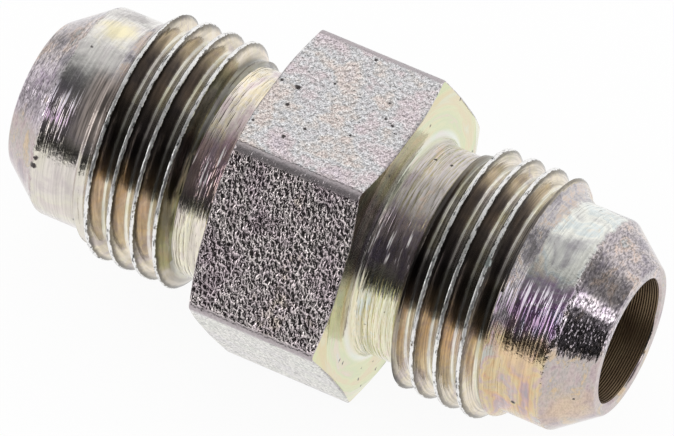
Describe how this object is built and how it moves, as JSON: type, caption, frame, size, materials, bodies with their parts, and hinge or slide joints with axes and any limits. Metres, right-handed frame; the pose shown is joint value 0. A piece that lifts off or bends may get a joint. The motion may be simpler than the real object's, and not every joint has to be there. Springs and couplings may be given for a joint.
{
  "type": "hydraulic double nipple",
  "caption": "Straight one-piece hydraulic union: a hexagon body with a relief neck, right-hand thread and conical flared-tube seat on each end, bored through.",
  "frame": {"origin": "middle of the hexagon, on the bore's axis", "axes": "+X along the bore towards the end that faces the viewer in the picture, +Z square to a flat of the hexagon, +Y towards a corner edge of the hexagon on the far side"},
  "size_m": [0.036, 0.0194, 0.0168],
  "materials": {
    "plated_steel": "bright turned steel, zinc plated with a pale yellow and violet passivated film; the hexagon flats keep a fine grain"
  },
  "bodies": {
    "root": {"nipple_body": "plated_steel"}
  },
  "joints": []
}
